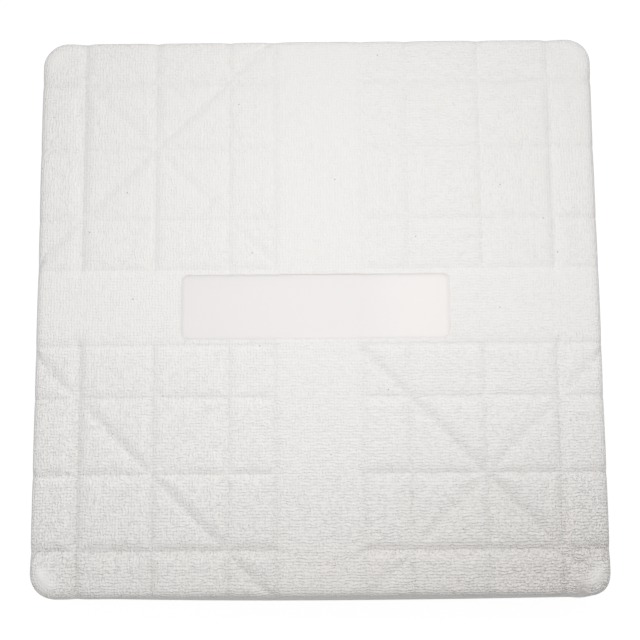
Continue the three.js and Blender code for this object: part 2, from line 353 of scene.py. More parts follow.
def smooth_rubber():
    """The same rubber off a polished part of the mould: even, a little glossier, and painted lighter to the
    right as a highlight.
    """
    m = new_material("smooth_rubber")
    place = node(m, "TexCoord").outputs["Object"]
    flow = node(m, "TexNoise", {"Vector": place, "Scale": 1 / (30 * MM), "Detail": 3.0})
    across = node(m, "SeparateXYZ", {0: place}).outputs["X"]
    # Painted highlight: the right end of the panel is painted lighter
    painted_highlight = node(m, "MapRange", {0: across, 1: 0.03, 2: 0.065, 3: 0.0, 4: 0.7})
    share = node(m, "Math", {0: flow, 1: 0.3, 2: painted_highlight}, operation="MULTIPLY_ADD")
    tone = node(m, "MixRGB", {0: share, 1: linear("#E8E5E4"), 2: linear("#F0ECEA")})
    gloss = node(m, "MapRange", {0: flow, 1: 0, 2: 1, 3: 0.38, 4: 0.5})
    bump = node(m, "Bump", {"Height": flow, "Distance": 0.3 * MM, "Strength": 0.5})
    shader = node(m, "BsdfPrincipled", {"Base Color": tone, "Normal": bump, "Roughness": gloss, "IOR": 1.5})
    node(m, "OutputMaterial", {"Surface": shader})
    return m


def cut_foam():
    """Cream cushioning foam: open cells pit the cut faces, and their hollows are painted darker as shade. The
    tone drifts a little as the foam ages.
    """
    m = new_material("cut_foam")
    place = node(m, "TexCoord").outputs["Object"]
    cells = node(m, "TexVoronoi", {"Vector": place, "Scale": 1 / (1.6 * MM)}).outputs["Distance"]
    pits = node(m, "MapRange", {0: cells, 1: 0.05, 2: 0.5, 3: 0.0, 4: 1.0})
    drift = node(m, "TexNoise", {"Vector": place, "Scale": 1 / (70 * MM), "Detail": 3.0})
    aged = node(m, "MixRGB", {0: drift, 1: linear("#D9CFAE"), 2: linear("#E2DABE")})
    # Painted shade: the pits of the cells are painted darker
    tone = node(m, "MixRGB", {0: pits, 1: linear("#B7AB86"), 2: aged})
    bump = node(m, "Bump", {"Height": pits, "Distance": 0.5 * MM, "Strength": 0.8})
    shader = node(m, "BsdfPrincipled", {"Base Color": tone, "Normal": bump, "Roughness": 0.95})
    node(m, "OutputMaterial", {"Surface": shader})
    return m


def birch_plywood():
    """Birch plywood: long streaks of grain on the faces, and dark glue lines between plies at the edges."""
    m = new_material("birch_plywood")
    ply = 1.8 * MM
    grain_size = (1 / (3 * MM), 1 / (90 * MM), 1 / ply)
    place = node(m, "TexCoord").outputs["Object"]
    stretched = node(m, "VectorMath", {0: place, 1: grain_size}, operation="MULTIPLY")
    streaks = node(m, "TexNoise", {"Vector": stretched, "Scale": 1, "Detail": 4.0})
    wood = node(m, "MixRGB", {0: streaks, 1: linear("#B98D58"), 2: linear("#D9B684")})
    height = node(m, "SeparateXYZ", {0: place}).outputs["Z"]
    plies = node(m, "Math", {0: height, 1: ply}, operation="DIVIDE")
    layer = node(m, "Math", {0: plies}, operation="FRACT")
    lower = node(m, "Math", {0: layer, 1: 0.5}, operation="SUBTRACT")
    off_middle = node(m, "Math", {0: lower}, operation="ABSOLUTE")
    glue = node(m, "MapRange", {0: off_middle, 1: 0.4, 2: 0.48, 3: 0.0, 4: 0.75})
    facing = node(m, "NewGeometry").outputs["Normal"]
    level = node(m, "Math", {0: node(m, "SeparateXYZ", {0: facing}).outputs["Z"]}, operation="ABSOLUTE")
    edge = node(m, "Math", {0: 1.0, 1: level}, operation="SUBTRACT")
    line = node(m, "Math", {0: glue, 1: edge}, operation="MULTIPLY")
    tone = node(m, "MixRGB", {0: line, 1: wood, 2: linear("#5C3F22")})
    bump = node(m, "Bump", {"Height": streaks, "Distance": 0.2 * MM, "Strength": 0.6})
    shader = node(m, "BsdfPrincipled", {"Base Color": tone, "Normal": bump, "Roughness": 0.7})
    node(m, "OutputMaterial", {"Surface": shader})
    return m


def black_sole_rubber():
    """Black tread rubber: a matt, nearly black ground with a fine mould grain and a faint grey bloom."""
    m = new_material("black_sole_rubber")
    place = node(m, "TexCoord").outputs["Object"]
    clouds = node(m, "TexNoise", {"Vector": place, "Scale": 1 / (35 * MM), "Detail": 4.0})
    bloom = node(m, "MapRange", {0: clouds, 1: 0.4, 2: 0.75, 3: 0.0, 4: 1.0})
    grit = node(m, "TexNoise", {"Vector": place, "Scale": 1 / (0.7 * MM), "Detail": 2.0})
    tone = node(m, "MixRGB", {0: bloom, 1: linear("#1B1B1C"), 2: linear("#2E2D2C")})
    gloss = node(m, "MapRange", {0: bloom, 1: 0, 2: 1, 3: 0.62, 4: 0.82})
    bump = node(m, "Bump", {"Height": grit, "Distance": 0.12 * MM, "Strength": 0.7})
    shader = node(m, "BsdfPrincipled", {"Base Color": tone, "Normal": bump, "Roughness": gloss, "IOR": 1.5})
    node(m, "OutputMaterial", {"Surface": shader})
    return m


def galvanised_steel():
    """Hot-dipped steel: grey zinc crystals that each catch the light differently, with dull streaks."""
    m = new_material("galvanised_steel")
    place = node(m, "TexCoord").outputs["Object"]
    crystals = node(m, "TexVoronoi", {"Vector": place, "Scale": 1 / (7 * MM)}).outputs["Color"]
    shade = node(m, "SeparateXYZ", {0: crystals}).outputs["X"]
    dull = node(m, "TexNoise", {"Vector": place, "Scale": 1 / (18 * MM), "Detail": 4.0})
    tone = node(m, "MixRGB", {0: shade, 1: linear("#8E9296"), 2: linear("#B4B8BB")})
    streaks = node(m, "MapRange", {0: dull, 1: 0.3, 2: 0.7, 3: 0.3, 4: 0.5})
    facets = node(m, "Math", {0: shade, 1: 0.12}, operation="MULTIPLY")
    gloss = node(m, "Math", {0: streaks, 1: facets}, operation="ADD")
    bump = node(m, "Bump", {"Height": dull, "Distance": 0.3 * MM, "Strength": 0.3})
    inputs = {"Base Color": tone, "Normal": bump, "Roughness": gloss, "Metallic": 1.0}
    node(m, "OutputMaterial", {"Surface": node(m, "BsdfPrincipled", inputs)})
    return m


def zinc_plate():
    """Bright zinc plate on turned steel: a smooth, slightly warm metal with faint handling marks."""
    m = new_material("zinc_plate")
    place = node(m, "TexCoord").outputs["Object"]
    film = node(m, "TexNoise", {"Vector": place, "Scale": 1 / (5 * MM), "Detail": 3.0})
    marks = node(m, "TexNoise", {"Vector": place, "Scale": 1 / (0.8 * MM), "Detail": 3.0})
    tone = node(m, "MixRGB", {0: film, 1: linear("#B9B7AE"), 2: linear("#CFCFCB")})
    gloss = node(m, "MapRange", {0: marks, 1: 0.3, 2: 0.7, 3: 0.24, 4: 0.42})
    bump = node(m, "Bump", {"Height": marks, "Distance": 0.04 * MM, "Strength": 0.5})
    inputs = {"Base Color": tone, "Normal": bump, "Roughness": gloss, "Metallic": 1.0}
    node(m, "OutputMaterial", {"Surface": node(m, "BsdfPrincipled", inputs)})
    return m


# Rings that carry a grid over the cover's form

def ring_at(inset, level):
    """Half width, corner radius and level of one ring of the outer form, moved inwards by an inset."""
    share = 1 - math.tan(SIDE_DRAFT) * level / HALF
    return (HALF - inset) * share, (EDGE_ROUND + TOP_CORNER - inset) * share, level


def stepped(start, end, step):
    """Even steps from one place to another, without the first, none longer than the given step."""
    count = math.ceil((end - start) / step)
    return [start + (end - start) * (k + 1) / count for k in range(count)]


def flat_rings(lines, level):
    """Square rings of a flat face, one for each line of its grid."""
    return [(line, 0.0, level) for line in lines]


def between(first, last, count):
    """Rings that run straight from one ring to another, without the first."""
    shares = [(k + 1) / count for k in range(count)]
    return [tuple(a + (b - a) * s for a, b in zip(first, last)) for s in shares]


def rounded_edge(inset, count, power=1.0):
    """Rings over the top's rounded edge, moved inwards by an inset. A power below 1 squares the edge."""
    radius = EDGE_ROUND - inset
    rings = []
    for k in range(count):
        turn = math.pi / 2 * (k + 1) / count
        out, up = math.sin(turn) ** power, max(math.cos(turn), 0) ** power
        rings.append(ring_at(inset + radius * (1 - out), TOP - EDGE_ROUND + radius * up))
    return rings


def new_grid(bm, rings):
    """A flat grid with one ring of squares for each step between the rings, at whole numbers."""
    count = len(rings) - 1
    return bmesh.ops.create_grid(bm, x_segments=2 * count, y_segments=2 * count, size=count)["verts"]


def lay_grid(verts, rings, lines):
    """Lays a grid over the rings, its lines on a flat face at the given places from the middle. Gives each
    point's place in the unrolled pattern, as its own side and as the next side round the corner have it,
    and how many rings from the middle it lies each way."""
    rings = np.array(rings)
    lines = np.array(lines)
    straight = len(lines) - 1
    grid = np.array([v.co[:2] for v in verts]).round()
    reach = np.abs(grid)
    ring = reach.max(1).astype(int)
    along = reach.min(1)
    half, corner, level = rings[ring].T
    travel = np.concatenate([[0], np.hypot(np.diff(rings[:, 0]), np.diff(rings[:, 2])).cumsum()])[ring]
    run = np.maximum(half - corner - lines[-1], 0)
    pinch = np.where(ring > straight, np.minimum((half - corner) / lines[-1], 1), 1)
    share = np.clip((along - straight) / np.maximum(ring - straight, 1), 0, 1)
    way = share * (run + corner * math.pi / 4)
    turn = np.maximum(way - run, 0) / np.maximum(corner, 1e-9)
    kept = lines[np.minimum(along, straight).astype(int)] * pinch + np.minimum(way, run)
    sideways = np.where(turn > 0, half - corner + corner * np.sin(turn), kept)
    outwards = np.where(turn > 0, half - corner + corner * np.cos(turn), half)
    unrolled = np.where(turn > 0, half - corner + corner * turn, kept)
    on_x = reach[:, 0] >= reach[:, 1]
    sign = np.sign(grid)
    x = sign[:, 0] * np.where(on_x, outwards, sideways)
    y = sign[:, 1] * np.where(on_x, sideways, outwards)
    for v, place in zip(verts, np.stack([x, y, level], 1)):
        v.co = place
    own = np.where(on_x[:, None], np.stack([travel, unrolled], 1), np.stack([unrolled, travel], 1))
    return sign * own, sign * own[:, ::-1], reach


# Outlines of recesses, as the middle and half sizes of a rounded rectangle and its corner radius

def to_outline(point, outline):
    """The nearest point of an outline's core, and the way from there to a point."""
    x, y, half_x, half_y, radius = outline
    core_x = max(x - half_x + radius, min(x + half_x - radius, point.x))
    core_y = max(y - half_y + radius, min(y + half_y - radius, point.y))
    core = Vector((core_x, core_y))
    return core, point.xy - core


def within(point, outline):
    return to_outline(point, outline)[1].length < outline[4]


def snap(v, outline):
    """Moves a point onto an outline, straight out from its core."""
    core, way = to_outline(v.co, outline)
    v.co.xy = core + way.normalized() * outline[4]


def sink(bm, faces, outline, steps):
    """Sinks the faces within an outline, in steps of how far in and how deep. Gives the faces it sank."""
    faces = [f for f in faces if within(f.calc_center_median(), outline)]
    inside = set(faces)
    for v in {v for f in faces for v in f.verts}:
        if any(f not in inside for f in v.link_faces):
            snap(v, outline)
    walls = []
    for thickness, depth in steps:
        made = bmesh.ops.inset_region(bm, faces=faces, thickness=thickness, depth=-depth, use_boundary=True)
        walls += made["faces"]
    return faces + walls


# The cover

def skin_lines():
    """Where the lines of the skin's grid lie from the middle: closer together beside each quilted line."""
    lines = [0.0]
    for quilted in sorted((BAND_X, BAND_Y, *(line for line, *_ in QUILT_LINES))):
        lines += stepped(lines[-1], quilted - FOLD_WALL, SKIN_STEP)
        lines += [quilted - FOLD_WALL / 2, quilted, quilted + FOLD_WALL / 2, quilted + FOLD_WALL]
    return lines + stepped(lines[-1], SKIN_FLAT, SKIN_STEP)


def skin_rings(lines):
    """Rings of the cover's outside, from the middle of the top to the foot."""
    rings = flat_rings(lines, TOP)
    rings += between(rings[-1], ring_at(EDGE_ROUND, TOP), SHOULDER_RINGS)
    rings += rounded_edge(0, EDGE_RINGS, EDGE_POWER)
    rings += between(rings[-1], ring_at(0, FOOT_ROUND), SIDE_RINGS)
    for k in range(FOOT_RINGS):
        turn = math.pi / 2 * (k + 1) / FOOT_RINGS
        rings.append(ring_at(FOOT_ROUND * (1 - math.cos(turn)), FOOT_ROUND * (1 - math.sin(turn))))
    return rings


def lining_rings():
    """Rings of the cover's inside, from the foot round the lip to the edge of the ceiling."""
    lip_top = LIP_BOTTOM + LIP_THICKNESS
    wall = ring_at(COVER_WALL, lip_top)
    lip_edge = (wall[0] - LIP_WIDTH, wall[1])
    ceiling_edge = ring_at(EDGE_ROUND, TOP - COVER_WALL)
    rings = [ring_at(COVER_WALL, 0), ring_at(COVER_WALL, LIP_BOTTOM)]
    rings += [(*lip_edge, LIP_BOTTOM), (*lip_edge, lip_top), wall]
    return rings + rounded_edge(COVER_WALL, LINING_RINGS)[::-1] + [ceiling_edge]


def bell(distance, reach):
    """1 at no distance, falling smoothly to 0 at the reach."""
    return 0.5 + 0.5 * np.cos(np.pi * np.clip(distance / reach, 0, 1))


def pillow(distance, wall):
    """How far the rubber falls towards a quilted line: steepest beside it, and level at the wall's end."""
    return np.clip(1 - np.hypot(distance, PILLOW_SOFT) / wall, 0, 1) ** 2


def fold(distance, wall):
    """A sharp fold: deepest on a line, rising straight to both sides."""
    return FOLD_DEPTH * np.clip(1 - distance / wall, 0, 1)


def noise_at(points, size, seed):
    """Smooth noise from -1 to 1 at each point, with lumps of about that size."""
    shift = Vector((seed, 0, 0))
    return np.array([noise.noise(Vector(p) / size + shift) for p in points])


def corner_of(place):
    """The signs of the corner that a point is nearest to."""
    return math.copysign(1, place[0]), math.copysign(1, place[1])


def straight_lines(pattern):
    """How deep each band edge and grid line is at each point, and how near it is."""
    laid = np.abs(pattern)
    bands = np.array((BAND_X, BAND_Y))
    found = []
    for axis in (0, 1):
        short = np.maximum(bands[1 - axis] - laid[:, 1 - axis], 0)
        gain = np.where((axis == 0) & (pattern[:, 0] < 0), LEFT_GAIN, 1)
        for line, depth, inner, outer in ((bands[axis], BAND_DEPTH, BAND_WALL, BAND_WALL), *QUILT_LINES):
            off = laid[:, axis] - line
            distance = np.hypot(off, short)
            wall = np.where(off > 0, outer, inner)
            found.append((gain * depth * pillow(distance, wall) + fold(distance, FOLD_WALL), distance))
    return found


def diagonal_lines(places, pattern):
    """How deep the two diagonals of each quarter are at each point, and how near they are. The fold of a
    diagonal grows with its depth in millimetres."""
    x, y = np.abs(places[:, :2]).T
    outwards = np.clip((x + y) / 2, BAND_X, DIAGONAL_END)
    u, w = np.abs(pattern).T
    sideways = np.clip((u - w) / 2, BAND_X - QUARTER, QUARTER - BAND_X)
    depths = np.array([DIAGONAL_DEPTHS[corner_of(place)] for place in places]).T
    to_corner = np.hypot(x - outwards, y - outwards)
    across = np.hypot(u - QUARTER - sideways, w - QUARTER + sideways)
    found = []
    for depth, distance in zip(depths, (to_corner, across)):
        folded = fold(distance, DIAGONAL_FOLD_WALL) * depth / MM
        found.append((depth * pillow(distance, DIAGONAL_WALL) + folded, distance))
    return found


def quilting(places, pattern):
    """How deep the quilted lines are at each point, and how near the nearest line is."""
    depths, distances = zip(*straight_lines(pattern), *diagonal_lines(places, pattern))
    return np.max(depths, 0), np.min(distances, 0)


def corner_patch(places, width):
    """How far the patch on each rounded corner shows: its own share in the middle, falling to 0 round it."""
    rest = np.abs(places) - np.array(PATCH_PLACE)
    along = (rest[:, 0] - rest[:, 1]) / math.sqrt(2)
    aside = np.sqrt(np.maximum((rest ** 2).sum(1) - along ** 2, 0))
    share = np.array([CORNER_PATCH[corner_of(place)] for place in places])
    return share * bell(np.abs(along), PATCH_LENGTH) * bell(aside, width)


def crease(places):
    """How deep the crease and the dimple at the front right corner are at each point."""
    start, end = np.array(CREASE_START), np.array(DIMPLE_PLACE)
    way = end - start
    share = np.clip((places - start) @ way / (way @ way), 0, 1)
    off = np.linalg.norm(places - start - share[:, None] * way, axis=1)
    dimple = DIMPLE_DEPTH * bell(np.linalg.norm((places - end) / np.array(DIMPLE_REACH), axis=1), 1)
    return dimple + CREASE_DEPTH * share * bell(off, CREASE_WALL)


def towards_front(places):
    """0 over the back of the base, rising smoothly to 1 at its front edge."""
    share = np.clip((GRAIN_BACK - places[:, 1]) / (GRAIN_BACK + HALF), 0, 1)
    return share ** 2 * (3 - 2 * share)


def skin_relief(places, pattern):
    """How far each point of the skin sinks or swells."""
    depth, distance = quilting(places, pattern)
    fade = np.clip((places[:, 2] - GROOVE_END) / GROOVE_FADE, 0, 1)
    over_edge = np.clip((TOP - places[:, 2]) / EDGE_FADE, 0, 1)
    fade *= 1 - (1 - EDGE_GROOVE) * over_edge
    uneven = UNEVEN_GAIN * noise_at(places, UNEVEN_SIZE, UNEVEN_SEED)
    gain = QUILT_GAIN + FRONT_GAIN * towards_front(places) + uneven
    relief = -depth * gain * fade
    relief -= PUFF * bell(distance, PUFF_WALL) * fade
    relief += WAVE * noise_at(places, WAVE_SIZE, WAVE_SEED) * np.clip(places[:, 2] / EDGE_ROUND, 0, 1)
    relief += PATCH_RISE * corner_patch(places, PATCH_WIDTH) - crease(places)
    crown = np.clip(1 - (places[:, 0] / HALF) ** 2, 0, 1) * np.clip(1 - (places[:, 1] / HALF) ** 2, 0, 1)
    return relief + CROWN * crown * (places[:, 2] > TOP - EDGE_ROUND)


def weave_depth(places):
    """How deep the warp and the weft are pressed at each point: even on the sides, deeper towards the front
    and the left of the top and most at the front right, less on the bands, and hardly at all on the patches.
    The threads that run round LEAD_CENTRE lead."""
    x, y, z = places.T
    front = towards_front(places)
    right = np.clip(x / HALF, 0, 1) ** 2
    depth = TOP_WEAVE + np.where(x < 0, LEFT_WEAVE, RIGHT_WEAVE) * (x / HALF) ** 2 + FRONT_WEAVE * front
    depth += FRONT_EDGE_WEAVE * front ** FRONT_EDGE_POWER * (FRONT_EDGE_LEFT + right)
    depth = SIDE_WEAVE + (depth - SIDE_WEAVE) * np.clip((z - TOP) / EDGE_ROUND + 1, 0, 1)
    flat = PATCH_FLATTEN * corner_patch(places, PATCH_SMOOTH) + CREASE_FLATTEN * crease(places)
    depth *= 1 - np.clip(flat, 0, FLATTEN_MOST)
    to_band = np.maximum(np.minimum(np.abs(x) - BAND_X, np.abs(y) - BAND_Y), 0)
    depth *= 1 - BAND_SMOOTH * (1 - front) * bell(to_band, BAND_WALL)
    lead = np.arctan2(np.abs(y - LEAD_CENTRE[1]), np.abs(x - LEAD_CENTRE[0]))
    lead += LEAD_WANDER * noise_at(places, LEAD_SIZE, LEAD_SEED)
    shares = np.stack([np.cos(lead), np.sin(lead)], 1) ** 2 + LEAST_SHARE
    return depth[:, None] * shares / np.linalg.norm(shares, axis=1)[:, None]


def shape_sides(v):
    """Lays the pattern a little off the middle, draws the corners out, each by its own amount, and bows the
    foot in towards them."""
    x, y, z = v.co
    sign = corner_of(v.co)
    corner = Vector((sign[0] * HALF, sign[1] * HALF))
    drawn = CORNER_DRAW[sign] * float(bell((v.co.xy - corner).length, CORNER_REACH))
    near_corner = (min(abs(x), abs(y)) / HALF) ** 2
    bowed = FOOT_BOW[sign] * near_corner * max(1 - z / (TOP - EDGE_ROUND), 0)
    way = Vector((v.normal.x, v.normal.y))
    shift = [s * max(math.cos(math.pi * c / LAY_SPAN), 0) for s, c in zip(LAY_SHIFT, (x, y))]
    v.co.xy += Vector(shift) + Vector(sign) * drawn / math.sqrt(2) - way * bowed


def lay_weave(bm, weave, patterns, reach):
    """Writes the unrolled pattern on each face. On a corner's diagonal each side's faces take their own."""
    pattern, turned_pattern = patterns
    for f in bm.faces:
        corners = [loop.vert.index for loop in f.loops]
        on_y = reach[corners, 1].sum() > reach[corners, 0].sum()
        for loop, i in zip(f.loops, corners):
            turned = on_y and reach[i, 0] == reach[i, 1]
            loop[weave].uv = turned_pattern[i] if turned else pattern[i]


def make_cover():
    """The cover: quilting pressed into its skin, a smooth panel sunk in its top, a lip turned in below."""
    bm = bmesh.new()
    warp = bm.verts.layers.float.new("warp")
    weft = bm.verts.layers.float.new("weft")
    corner_highlight = bm.verts.layers.float.new("corner_highlight")
    weave = bm.loops.layers.uv.new("weave")
    lines = skin_lines()
    outer = skin_rings(lines)
    rings = outer + lining_rings()
    verts = new_grid(bm, rings)
    *patterns, reach = lay_grid(verts, rings, lines)
    diagonal = reach[:, 0] == reach[:, 1]
    bmesh.ops.connect_verts(bm, verts=[v for v, on in zip(verts, diagonal) if on])
    bm.normal_update()
    places = np.array([v.co for v in verts])
    outside = reach.max(1) < len(outer)
    relief = skin_relief(places, patterns[0])
    woven = weave_depth(places)
    patch = corner_patch(places, PATCH_WIDTH)
    lay_weave(bm, weave, patterns, reach)
    for f in bm.faces:
        f.smooth = True
        f.material_index = 0 if all(outside[v.index] for v in f.verts) else 1
    for i, v in enumerate(verts):
        if outside[i]:
            shape_sides(v)
            v.co += v.normal * relief[i]
            v[warp], v[weft] = woven[i]
            # The corner patches' share, which the material paints lighter as a highlight
            v[corner_highlight] = patch[i]
    bmesh.ops.contextual_create(bm, geom=[e for e in bm.edges if e.is_boundary])
    top_faces = [f for f in bm.faces if f.calc_center_median().z > TOP - COVER_WALL / 2]
    depths = (PANEL_SOFT, PANEL_DEPTH + PANEL_MOAT - PANEL_SOFT, -PANEL_MOAT)
    for f in sink(bm, top_faces, PANEL, zip(PANEL_WALLS, depths)):
        f.material_index = 1
    bmesh.ops.recalc_face_normals(bm, faces=bm.faces)
    piece = new_piece("base_cover", bm, canvas_grained_rubber(), smooth_rubber())
    dress(piece, "cover")


# The foam core

def make_foam():
    """A cut foam block that fills the cover, with pockets below for the socket and the tee nuts."""
    bm = bmesh.new()
    inset = COVER_WALL + FOAM_GAP
    lines = [0.0] + stepped(0, FOAM_FLAT, FOAM_STEP)
    rings = flat_rings(lines, TOP - inset)
    shoulder, edge, side = FOAM_RINGS
    rings += between(rings[-1], ring_at(EDGE_ROUND, TOP - inset), shoulder)
    rings += rounded_edge(inset, edge)
    rings += between(rings[-1], ring_at(inset, FOAM_BOTTOM), side)
    lay_grid(new_grid(bm, rings), rings, lines)
    rings = flat_rings(lines, FOAM_BOTTOM)
    rings += between(rings[-1], ring_at(inset, FOAM_BOTTOM), sum(FOAM_RINGS))
    lay_grid(new_grid(bm, rings), rings, lines)
    bmesh.ops.remove_doubles(bm, verts=bm.verts, dist=MERGE_FINE)
    bmesh.ops.recalc_face_normals(bm, faces=bm.faces)
    socket = (0, 0, SOCKET_HALF + FOAM_GAP, SOCKET_HALF + FOAM_GAP, POCKET_CORNER)
    pockets = [(socket, SOCKET_TOP + FOAM_GAP - FOAM_BOTTOM)]
    for i in range(1, 5):
        low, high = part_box(f"flange_bolt_{i}")
        middle = (low + high) / 2
        radius = TEE_RADIUS + FOAM_GAP
        pockets.append(((middle.x, middle.y, radius, radius, radius), BOLT_TOP + FOAM_GAP - FOAM_BOTTOM))
    for outline, depth in pockets:
        under = [f for f in bm.faces if f.normal.z < -0.9]
        sink(bm, under, outline, ((POCKET_SLOPE, depth),))
    for f in bm.faces:
        f.smooth = True
    piece = new_piece("foam_block", bm, cut_foam())
    piece.data.set_sharp_from_angle(angle=FOAM_SHARP)
    dress(piece, "foam_core")


# The sole

def sole_line(k):
    """Where line k of the sole's grid lies: the window and the outer edge keep their own places."""
    if abs(k) == WINDOW_CELLS:
        return math.copysign(FLANGE_HALF + WINDOW_GAP, k)
    if abs(k) == SOLE_CELLS:
        return math.copysign(SOLE_HALF, k)
    return k * SOLE_CELL


def from_middle(place):
    """How far a point lies from the middle of the base, along x or y, whichever is more."""
    return max(abs(place.x), abs(place.y))


def screw_places():
    boxes = [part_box(f"sole_screw_{i:02d}") for i in range(1, 13)]
    return [((low + high) / 2).xy for low, high in boxes]


def open_loop(bm, chosen):
    """The edges of a face's open rim whose points all pass a test."""
    return [e for e in bm.edges if e.is_boundary and all(chosen(v.co) for v in e.verts)]


def draw_rim(bm, rim, place, radius, lift):
    """Draws the open rim of a screw hole on to a circle at another height. Gives the new rim."""
    made = bmesh.ops.extrude_edge_only(bm, edges=rim)["geom"]
    for v in made:
        if isinstance(v, bmesh.types.BMVert):
            v.co.xy = place + (v.co.xy - place).normalized() * radius
            v.co.z += lift
    return [e for e in made if isinstance(e, bmesh.types.BMEdge) and e.is_boundary]


def sole_plate(bm, level, hole):
    """One face of the sole, with its window and round holes for the screws. Gives the rims of the holes."""
    cells = 2 * SOLE_CELLS
    verts = bmesh.ops.create_grid(bm, x_segments=cells, y_segments=cells, size=SOLE_CELLS)["verts"]
    faces = list(dict.fromkeys(f for v in verts for f in v.link_faces))
    opening = [f for f in faces if from_middle(f.calc_center_median()) < WINDOW_CELLS]
    bmesh.ops.delete(bm, geom=opening, context="FACES")
    for v in verts:
        if v.is_valid:
            v.co = (sole_line(round(v.co.x)), sole_line(round(v.co.y)), level)
    rims = []
    for place in screw_places():
        middle = Vector((place.x, place.y, level))
        cell = min((f for f in faces if f.is_valid), key=lambda f: (f.calc_center_median() - middle).length)
        edges = list(cell.edges)
        bmesh.ops.delete(bm, geom=[cell], context="FACES_ONLY")
        bmesh.ops.subdivide_edges(bm, edges=edges, cuts=HOLE_CUTS)
        square = open_loop(bm, lambda co: (co.xy - place).length < SOLE_CELL and abs(co.z - level) < MM)
        rims.append(draw_rim(bm, square, place, hole, 0))
    return rims


def round_rims(bm, level):
    """Rounds the corners of the sole's outer edge and of its window at one level."""
    lean_in = math.tan(SIDE_DRAFT) * level
    outer = (0, 0, SOLE_HALF - lean_in, SOLE_HALF - lean_in, SOLE_CORNER)
    window = FLANGE_HALF + WINDOW_GAP
    inner = (0, 0, window, window, FLANGE_CORNER + WINDOW_GAP)
    for outline, chosen in (
        (outer, lambda co: abs(co.z - level) < MM and from_middle(co) > SOLE_HALF - MM),
        (inner, lambda co: abs(co.z - level) < MM and from_middle(co) < SOLE_MIDDLE),
    ):
        rim = open_loop(bm, chosen)
        bmesh.ops.subdivide_edges(bm, edges=rim, cuts=CORNER_CUTS)
        for v in {v for e in open_loop(bm, chosen) for v in e.verts}:
            snap(v, outline)


def cut_tread(bm):
    """Cuts a lattice of grooves round square studs into the middle of the sole's underside."""
    first, last = (k * SOLE_CELL for k in TREAD_CELLS)
    zone = []
    for f in bm.faces:
        middle = f.calc_center_median()
        if middle.z < MM and first < from_middle(middle) < last and len(f.verts) == 4:
            zone.append(f)
    lattice = bmesh.ops.inset_individual(bm, faces=zone, thickness=TREAD_GROOVE / 2)["faces"]
    bmesh.ops.inset_region(bm, faces=lattice, thickness=TREAD_SLOPE, depth=-TREAD_DEPTH, use_even_offset=True,
                           use_boundary=True)


def make_sole():
    """The black rubber sole: a studded tread, a border with counterbored screw holes, and the window."""
    bm = bmesh.new()
    under_rims = sole_plate(bm, 0, HEAD_HOLE)
    bmesh.ops.reverse_faces(bm, faces=bm.faces)
    cut_tread(bm)
    sole_plate(bm, SOLE_TOP, SHANK_HOLE)
    for rim, place in zip(under_rims, screw_places()):
        wall = draw_rim(bm, rim, place, HEAD_HOLE, HEAD_SEAT)
        shelf = draw_rim(bm, wall, place, SHANK_HOLE, 0)
        draw_rim(bm, shelf, place, SHANK_HOLE, SOLE_TOP - HEAD_SEAT)
    bmesh.ops.remove_doubles(bm, verts=bm.verts, dist=MERGE)
    for level in (0, SOLE_TOP):
        round_rims(bm, level)
    bmesh.ops.bridge_loops(bm, edges=open_loop(bm, lambda co: from_middle(co) < SOLE_MIDDLE))
    bmesh.ops.bridge_loops(bm, edges=open_loop(bm, lambda co: from_middle(co) > SOLE_MIDDLE))
    bmesh.ops.recalc_face_normals(bm, faces=bm.faces)
    piece = new_piece("grip_sole", bm, black_sole_rubber())
    dress(piece, "sole")


# Fasteners, turned about an upright axis

def turn_profile(bm, place, profile):
    """Spins a profile of radius and level about an upright axis."""
    verts = [bm.verts.new((place.x + r, place.y, z)) for r, z in profile]
    edges = [bm.edges.new(pair) for pair in zip(verts, verts[1:])]
    bmesh.ops.spin(bm, geom=verts + edges, cent=(place.x, place.y, 0), axis=(0, 0, 1), angle=2 * math.pi,
                   steps=TURNED_STEPS, use_merge=True)
    bmesh.ops.remove_doubles(bm, verts=bm.verts, dist=MERGE_FINE)


def cut_recess(bm, place, level, radius_at, depth):
    """Cuts a driver's recess into the open crown of a head. radius_at gives its radius at each angle."""
    crown = [e for e in bm.edges if e.is_boundary]
    lift = Matrix.Translation((place.x, place.y, level))
    rim = bmesh.ops.create_circle(bm, radius=1, segments=TURNED_STEPS, matrix=lift)["verts"]
    for v in rim:
        turn = math.atan2(v.co.y - place.y, v.co.x - place.x)
        v.co.xy = place + Vector((math.cos(turn), math.sin(turn))) * radius_at(turn)
    edges = list(dict.fromkeys(e for v in rim for e in v.link_edges))
    bmesh.ops.bridge_loops(bm, edges=crown + edges)
    wall = bmesh.ops.extrude_edge_only(bm, edges=edges)["geom"]
    bmesh.ops.translate(bm, verts=[g for g in wall if isinstance(g, bmesh.types.BMVert)], vec=(0, 0, depth))
    floor = [g for g in wall if isinstance(g, bmesh.types.BMEdge) and g.is_boundary]
    bmesh.ops.contextual_create(bm, geom=floor)


def thread(radius, depth, pitch, start, end):
    """The saw-tooth outline of a screw thread between two levels."""
    count = int((end - start) / pitch)
    points = []
    for k in range(count):
        points.append((radius - depth, start + k * pitch))
        points.append((radius, start + (k + 0.5) * pitch))
    return points + [(radius - depth, start + count * pitch)]


def dome(crown, rim, level, height):
    """The rounded shoulder of a head, from its crown to its rim."""
    turns = [math.pi / 2 * k / DOME_STEPS for k in range(DOME_STEPS + 1)]
    return [(crown + (rim - crown) * math.sin(t), level + height * (1 - math.cos(t))) for t in turns]


def hexagon(turn):
    """Radius of a hexagonal key socket at an angle."""
    return BOLT_KEY / math.cos((turn + math.pi / 6) % (math.pi / 3) - math.pi / 6)


def cross(turn):
    """Radius of a cross recess at an angle."""
    off = abs((turn + math.pi / 4) % (math.pi / 2) - math.pi / 4)
    return min(CROSS_ARM / math.cos(off), CROSS_HALF / max(math.sin(off), 1e-6))


